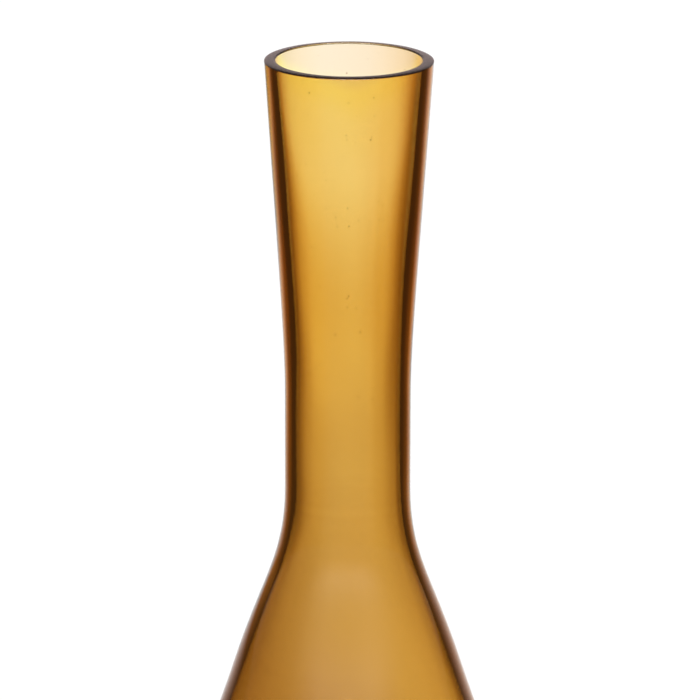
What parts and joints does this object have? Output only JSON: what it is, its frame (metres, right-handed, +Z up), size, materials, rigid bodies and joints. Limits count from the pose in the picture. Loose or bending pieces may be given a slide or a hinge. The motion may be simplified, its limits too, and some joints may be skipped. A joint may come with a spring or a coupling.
{
  "type": "bud vase",
  "caption": "Bottle-shaped bud vase of amber glass, blown in one piece: round body, straight throat, flared neck and flat ground rim.",
  "frame": {"origin": "on the vase's axis, at the level the foot stands on", "axes": "+Z up the axis and out of the mouth; the vase is round, so X and Y are any two level directions"},
  "size_m": [0.1, 0.1, 0.3],
  "materials": {
    "amber_glass": "clear amber glass, glossy and slightly wavy as blown, with a few fine seeds; rim cut flat and polished, foot ring ground"
  },
  "bodies": {
    "root": {"vase": "amber_glass"}
  },
  "joints": []
}
